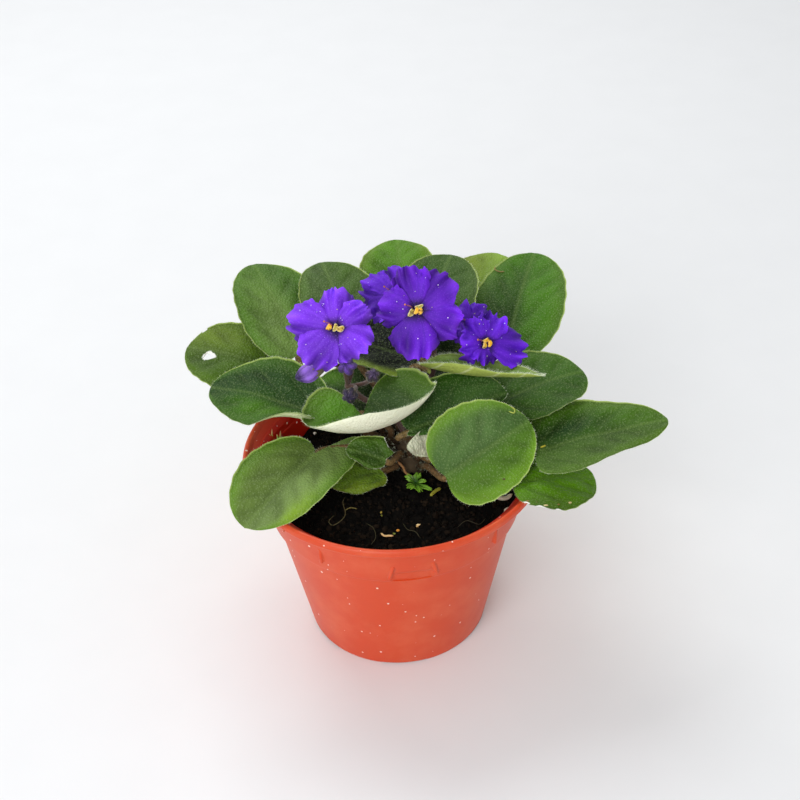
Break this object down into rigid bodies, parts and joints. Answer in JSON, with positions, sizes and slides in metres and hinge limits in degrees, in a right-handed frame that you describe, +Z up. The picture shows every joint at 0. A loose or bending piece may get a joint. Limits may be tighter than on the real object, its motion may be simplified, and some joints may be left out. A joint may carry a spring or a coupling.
{
  "type": "potted african violet",
  "caption": "Rosette house plant with hairy rounded leaves and frilled violet flowers, growing in a round tapered plastic nursery pot filled with soil.",
  "frame": {"origin": "centre of the underside of the pot's base, on the surface it stands on", "axes": "+Z up; -Y towards the front, the side that the picture shows; +X to the right of that view"},
  "size_m": [0.2024, 0.1795, 0.1682],
  "materials": {
    "pot": "moulded terracotta-red plastic with a soft sheen",
    "soil": "dark, crumbly potting mix",
    "crown": "short rough stem",
    "leaf": "fleshy green blade with fine pale hairs and a light margin",
    "petal": "soft violet petal with a sparkling, velvety surface",
    "anther": "smooth yellow pollen sac",
    "stalk": "brown-green stalk with fine hairs",
    "bud": "folded dark violet petals with hairs",
    "seedling": "bright green thin frond"
  },
  "bodies": {
    "root": {"pot": "pot", "soil": "soil", "crown": "crown", "leaf_far_left": "leaf", "leaf_upper_left": "leaf", "leaf_left": "leaf", "leaf_front_cupped": "leaf", "leaf_back_left": "leaf", "leaf_back_top": "leaf", "leaf_back_right": "leaf", "leaf_far_back_right": "leaf", "leaf_upper_right": "leaf", "leaf_right": "leaf", "leaf_right_edge_on": "leaf", "leaf_shaded": "leaf", "leaf_centre_back": "leaf", "leaf_inner_left": "leaf", "leaf_inner_right": "leaf", "leaf_inner_front": "leaf", "leaf_front_round": "leaf", "leaf_long_right": "leaf", "leaf_low_right": "leaf", "leaf_front_left": "leaf", "leaf_small_cut": "leaf", "leaf_small_low": "leaf", "stalk_left": "stalk", "stalk_middle": "stalk", "stalk_right": "stalk", "bloom_left": "petal", "anthers_left": "anther", "bloom_middle": "petal", "anthers_middle": "anther", "bloom_right": "petal", "anthers_right": "anther", "bloom_back_left": "petal", "anthers_back_left": "anther", "bloom_back_right": "petal", "anthers_back_right": "anther", "bud_opening": "bud", "bud_violet": "bud", "bud_hairy": "bud", "bud_dark": "bud", "fern_seedling": "seedling"}
  },
  "joints": []
}
